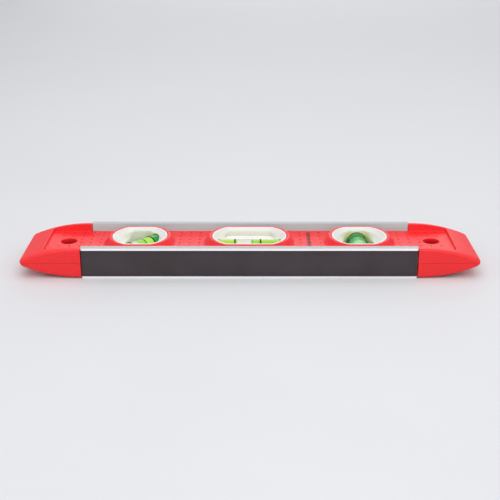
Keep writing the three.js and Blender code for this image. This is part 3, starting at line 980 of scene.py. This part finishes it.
def bar(name, outline, x0, x1, material, end_round=0.15, corner=0.0, corner_y=0.0, away=1, inner_y=None):
    """Prism along X with eased ends; corner rounds the outer long edge in plan at each end."""
    steps = [0.0, end_round * 0.3, end_round]
    if corner:
        steps += [corner * k for k in (0.25, 0.4, 0.6, 0.8, 1.0)]
    rings = []
    for dx in steps:
        ease = end_round - math.sqrt(max(end_round ** 2 - max(end_round - dx, 0) ** 2, 0))
        ring = inset(outline, ease)
        if corner:
            cut = corner - math.sqrt(max(corner ** 2 - max(corner - dx, 0) ** 2, 0))
            limit = corner_y + away * cut
            ring[:, 0] = np.maximum(ring[:, 0], limit) if away > 0 else np.minimum(ring[:, 0], limit)
        rings.append((dx, ring))
    stations = [(x0 + dx, ring) for dx, ring in rings]
    stations += [(x1 - dx, ring) for dx, ring in reversed(rings)]
    count = len(outline)
    verts = [(x, y, z) for x, ring in stations for y, z in ring]
    faces = sweep_faces(len(stations), count)
    faces.append(tuple(range(count)))
    start = (len(stations) - 1) * count
    faces.append(tuple(reversed(range(start, start + count))))
    attrs = None
    if inner_y is not None:
        attrs = {
            # Inner wall: cyan tint against bounced red light, as painted light
            "inner": [1.0 if abs(v[1] - inner_y) < 0.01 else 0.0 for v in verts],
            # Outer face: painted highlight
            "milled": [1.0 if abs(v[1] - corner_y) < 0.08 else 0.0 for v in verts],
        }
    return add_object(name, verts, turned_out(verts, faces), material, smooth=30, attrs=attrs)


def build_rails():
    y0, y1 = BASE_LOW[1], BASE_HIGH[1]
    groove_low, groove_high = MID - GROOVE_HALF, MID + GROOVE_HALF
    section = rounded([
        (y0, 0, 0.28), (y1, 0, 0.45), (y1, groove_low, 0.1), (y1 - GROOVE, groove_low, 0.05),
        (y1 - GROOVE, groove_high, 0.05), (y1, groove_high, 0.1), (y1, DEPTH, 0.45), (y0, DEPTH, 0.28),
        (y0, DEPTH - LIP, 0.12), (y0 + RECESS, DEPTH - LIP, 0.05), (y0 + RECESS, LIP, 0.05), (y0, LIP, 0.12),
    ])
    x0, x1 = BASE_LOW[0] + BASE_ENDS[0], BASE_HIGH[0] + BASE_ENDS[1]
    obj = bar("base_rail_metal", section, x0, x1, METAL, 0.15, 1.0, y0, 1, y1)
    stand_for(obj, ["base_rail"])
    y0, y1 = TOP_LOW[1], TOP_HIGH[1]
    section = rounded([
        (y0, 0, 0.35), (y1, 0, 0.4), (y1, DEPTH, 0.4), (y0, DEPTH, 0.35),
        (y0, groove_high, 0.1), (y0 + GROOVE, groove_high, 0.05),
        (y0 + GROOVE, groove_low, 0.05), (y0, groove_low, 0.1),
    ])
    x0, x1 = TOP_LOW[0] + TOP_ENDS[0], TOP_HIGH[0] + TOP_ENDS[1]
    obj = bar("top_rail_metal", section, x0, x1, METAL, 0.15, 1.0, y1, -1, y0)
    stand_for(obj, ["top_rail"])
    for name, low, high, material, slot, r in (
            ("magnet_strip", MAGNET_LOW, MAGNET_HIGH, MAGNET, "magnet_strip", 0.18),
            ("magnet_adhesive", TAPE_LOW, TAPE_HIGH, TAPE, "magnet_adhesive", 0.04)):
        section = rounded([
            (low[1], low[2], r), (high[1], low[2], r), (high[1], high[2], r), (low[1], high[2], r)])
        obj = bar(f"{name}_sheet", section, low[0] + STRIP_ENDS[0], high[0] + STRIP_ENDS[1], material, r)
        stand_for(obj, [name])


build_rails()


# ---------------------------------------------------------------- housings and vials
# (growth of the window outline, height above the mid plane, share of the throat, share of the foot)
HOUSING_PROFILE = [
    (0.0, 0.0, 0, 0), (0.0, 7.36, 0, 0), (-0.04, 7.45, 0, 0), (-0.13, 7.5, 0, 0), (-0.62, 7.5, 0, 0),
    (-0.76, 7.47, 0, 0), (-0.87, 7.39, 0, 0), (-0.95, 7.26, 0, 0), (-1.45, 6.48, 0.35, 0),
    (-1.8, 5.9, 0.72, 0.05),
    (-1.92, 5.66, 0.86, 0.09), (-2.0, 5.44, 0.85, 0.15), (-2.0, 4.9, 0.7, 0.3), (-2.0, 4.4, 0.53, 0.47),
    (-2.0, 3.95, 0.35, 0.65), (-2.0, 3.55, 0.16, 0.84), (-2.0, 3.2, 0, 1),
]
FLOOR_Z = 3.2
BOWL_FROM = 5.44
BOWL_STRETCH = 1.4
INNER_UP = WIN_HALF - 2.0
INNER_R = 1.3


def inner_outline(corner_x, turn, corner_steps=12, end_steps=30):
    """Outline inside the bowl: small corners and a wide end arc that meets them at the given turn."""
    up = INNER_UP - INNER_R
    big = INNER_R + up / math.sin(turn)
    end_centre = corner_x - INNER_R - (big - INNER_R) * math.cos(turn)
    arcs = [
        (corner_x - INNER_R, -up, INNER_R, -math.pi / 2, -turn, corner_steps),
        (end_centre, 0.0, big, -turn, turn, end_steps),
        (corner_x - INNER_R, up, INNER_R, turn, math.pi / 2, corner_steps),
    ]
    return outline_from(arcs)


def build_housing(w):
    depth = 1.0 if w.turn == 0 else BOWL_STRETCH
    upper = HOUSING_PROFILE[:1]
    for g, z, t, b in HOUSING_PROFILE[1:]:
        upper.append((g, z if z > BOWL_FROM else BOWL_FROM - (BOWL_FROM - z) * depth, t, b))
    lower = [(g, -z, t, b) for g, z, t, b in reversed(upper) if z > 0]
    profile = upper + lower
    throat = inner_outline(w.throat_x, w.throat_turn)
    foot = inner_outline(w.foot_x, w.foot_turn)
    rings = [
        window_outline(w.half, g) * (1 - t - b) + throat * t + foot * b + (w.x, w.y)
        for g, _, t, b in profile]
    count = len(rings[0])
    verts = [(px, py, z + MID) for ring, (_, z, _, _) in zip(rings, profile) for px, py in ring]
    faces = turned_out(verts, sweep_faces(len(rings), count, join=True))
    white = white_plastic(w)
    obj = add_object(f"{w.name}_housing_shell", verts, faces, white)
    boolean(obj, cutter_along(w, w.socket))
    stand_for(obj, [f"{w.name}_housing"])
    if w.turn == 0:
        ring = foot + (w.x, w.y)
        verts = [(px, py, z + MID) for z in (-FLOOR_Z, FLOOR_Z) for px, py in ring]
        faces = sweep_faces(2, count) + [tuple(range(count)), tuple(reversed(range(count, 2 * count)))]
        plate = add_object(f"{w.name}_housing_floor", verts, turned_out(verts, faces), white)
        boolean(plate, cutter_along(w, w.socket))


def to_vial(w, points):
    """Points about the vial's centre with its axis along X, put in the row frame in millimetres."""
    p = np.asarray(points, float)
    c, s = math.cos(w.turn), math.sin(w.turn)
    return np.column_stack([
        w.vial[0] + p[:, 0] * c - p[:, 1] * s, w.vial[1] + p[:, 0] * s + p[:, 1] * c, w.vial[2] + p[:, 2]])


def revolve(profile, sides=72, join=False):
    """Points and faces of a profile of (along, radius) turned about the X axis."""
    verts, faces, rows = [], [], []
    for t, r in profile:
        if r < 1e-6:
            rows.append([len(verts)])
            verts.append((t, 0.0, 0.0))
        else:
            rows.append(list(range(len(verts), len(verts) + sides)))
            verts += [(t, r * math.cos(2 * math.pi * k / sides), r * math.sin(2 * math.pi * k / sides))
                      for k in range(sides)]
    pairs = list(zip(rows, rows[1:]))
    if join:
        pairs.append((rows[-1], rows[0]))
    for a, b in pairs:
        for k in range(sides):
            n = (k + 1) % sides
            if len(a) == 1 and len(b) == 1:
                continue
            if len(a) == 1:
                faces.append((a[0], b[n], b[k]))
            elif len(b) == 1:
                faces.append((a[k], a[n], b[0]))
            else:
                faces.append((a[k], a[n], b[n], b[k]))
    return verts, turned_out(verts, faces)


def cutter_along(w, radius):
    half = w.vial_half + 0.12
    verts, faces = revolve([(-half, 0), (-half, radius), (half, radius), (half, 0)], 96)
    return add_object("cutter", to_vial(w, verts), faces, None, body=None)


def vial_piece(w, part, profile, material, body=BODY, join=False, reshape=None):
    verts, faces = revolve(profile, join=join)
    if reshape is not None:
        verts = reshape(np.array(verts))
    along = np.array([v[0] for v in verts])
    points = to_vial(w, verts)
    obj = add_object(f"{w.name}_{part}_form", points, faces, material, body, attrs={"along": along})
    return stand_for(obj, [f"{w.name}_{part}"])


def dome(x, r, ease, sign):
    """Quarter-round run from the rim to the flat end."""
    return [(x - sign * ease * (1 - math.sin(a)), r - ease * (1 - math.cos(a)))
            for a in [math.pi / 2 * k / 5 for k in range(6)]]


def build_vial(w):
    half = w.vial_half
    bore_end, plug_face = half - 0.4, -half + 1.2
    outer = [(bore_end, 0), (bore_end, BORE_R - 0.2), (bore_end - 0.2, BORE_R), (-half + 0.15, BORE_R),
             (-half, BORE_R + 0.03), (-half, VIAL_R - 0.05), (-half + 0.05, VIAL_R)]
    outer += dome(half, VIAL_R, 0.5, 1) + [(half, 0)]
    vial_piece(w, "tube", outer, ACRYLIC)
    vial_piece(w, "plug", [(-half + 0.1, 0), (-half + 0.1, PLUG_R - 0.15), (-half + 0.25, PLUG_R),
                           (plug_face - 0.1, PLUG_R), (plug_face, PLUG_R - 0.1), (plug_face, 0)],
               PLUG)
    fill = [(plug_face + 0.05, 0), (plug_face + 0.05, LIQUID_R - 0.2), (plug_face + 0.2, LIQUID_R)]
    fill += [(t, LIQUID_R) for t in np.linspace(plug_face + 1, bore_end - 1, 13)]
    fill += [(bore_end - 0.2, LIQUID_R), (bore_end - 0.05, LIQUID_R - 0.2), (bore_end - 0.05, 0)]
    vial_piece(w, "liquid", fill, LIQUIDS[w.name])
    length, width, height, centre = w.bubble_half, 4.0, 2.6, 2.7

    def egg(points):
        p = points * (length, width, height)
        p[:, 2] += centre
        r = np.hypot(p[:, 1], p[:, 2])
        limit = LIQUID_R + 0.02
        k = np.where(r > limit, limit / np.maximum(r, 1e-9), 1.0)
        p[:, 1:] *= k[:, None]
        p[:, 0] += w.bubble
        return p
    ball = [(-math.copysign(abs(math.cos(a)) ** 0.5, math.cos(a)), math.sin(a) ** 0.5)
            for a in np.linspace(0, math.pi, 33)]
    ball[0], ball[-1] = (-1, 0), (1, 0)
    vial_piece(w, "bubble", ball, BUBBLES[w.name], f"{w.name}_bubble", reshape=egg)
    for mark in "ab":
        low, high = box_mm(f"{w.name}_ring_{mark}")
        away = (low + high) / 2 - w.vial
        at = away[0] * math.cos(w.turn) + away[1] * math.sin(w.turn)
        ring = [(at - 0.35, 5.02), (at - 0.35, 5.08), (at - 0.3, 5.14), (at + 0.3, 5.14), (at + 0.35, 5.08),
                (at + 0.35, 5.02)]
        colour = DIM_INK if w.name == "plumb_vial" else INK
        vial_piece(w, f"ring_{mark}", ring, colour, join=True)


for window in WINDOWS:
    build_housing(window)
    build_vial(window)


# ---------------------------------------------------------------- printed bars, no lettering
def build_print():
    verts, faces = [], []
    top = MID + WEB + 0.012
    x0, x1 = 29.25, 31.2
    y = -10.5
    for i in range(19):
        height = (0.95, 0.7, 1.1)[i % 3]
        inner = (0.0, 0.35, 0.15, 0.0, 0.5)[i % 5]
        n = len(verts)
        verts += [(x0 + inner, y, top), (x1, y, top), (x1, y + height, top), (x0 + inner, y + height, top)]
        faces.append((n, n + 1, n + 2, n + 3))
        y += height + 0.45
    obj = add_object("print_bars", verts, faces, PRINT)


build_print()


# ---------------------------------------------------------------- stage, light, camera
# (name, place, width, height, power), all aimed at the middle of the object
LIGHTS = [
    ("key", (0.1, -0.72, 0.78), 1.5, 0.9, 6.3),
    ("fill", (-0.2, -1.0, 0.22), 1.0, 0.35, 0.35),
    ("overhead", (0.0, 0.1, 0.9), 0.9, 0.9, 2.9),
    ("side_left", (-1.1, -0.25, 0.5), 0.8, 0.8, 1.6),
    ("side_right", (1.1, -0.25, 0.5), 0.8, 0.8, 1.6),
    ("backdrop", (0.1, 1.3, 0.5), 1.0, 0.7, 2.8),
]
ELEVATION = math.radians(20.63)
DISTANCE = 0.528
AIM_DROP = 0.00043
SENSOR = 36
FOCAL = 1025.2 / 500 * SENSOR


def build_stage():
    verts = [(-3000, -3000, 0), (3000, -3000, 0), (3000, 3000, 0), (-3000, 3000, 0)]
    obj = add_object("studio_floor", verts, [(0, 1, 2, 3)], floor_material(), body=None)
    world = bpy.data.worlds.new("studio")
    bpy.context.scene.world = world
    world.use_nodes = True
    world.node_tree.nodes["Background"].inputs[0].default_value = (0.93, 0.95, 1.0, 1)
    world.node_tree.nodes["Background"].inputs[1].default_value = 0.53


def area_light(name, place, size_x, size_y, energy):
    data = bpy.data.lights.new(name, "AREA")
    data.shape = "RECTANGLE"
    data.size, data.size_y = size_x, size_y
    data.energy = energy
    light = bpy.data.objects.new(name, data)
    bpy.context.scene.collection.objects.link(light)
    light.location = place
    light.rotation_euler = (-Vector(place)).to_track_quat("-Z", "Y").to_euler()


def build_light():
    for settings in LIGHTS:
        area_light(*settings)


def build_camera():
    back = Vector((0, -math.cos(ELEVATION), math.sin(ELEVATION)))
    up = Vector((0, math.sin(ELEVATION), math.cos(ELEVATION)))
    aim = Vector((0, 0, MID * MM)) - up * AIM_DROP
    data = bpy.data.cameras.new("camera")
    data.sensor_width = SENSOR
    data.lens = FOCAL
    data.clip_start = 0.01
    camera = bpy.data.objects.new("camera", data)
    bpy.context.scene.collection.objects.link(camera)
    camera.location = aim + back * DISTANCE
    camera.rotation_euler = (-back).to_track_quat("-Z", "Y").to_euler()
    bpy.context.scene.camera = camera


build_stage()
build_light()
build_camera()
bpy.context.scene.view_settings.view_transform = "Standard"

bpy.context.view_layer.update()
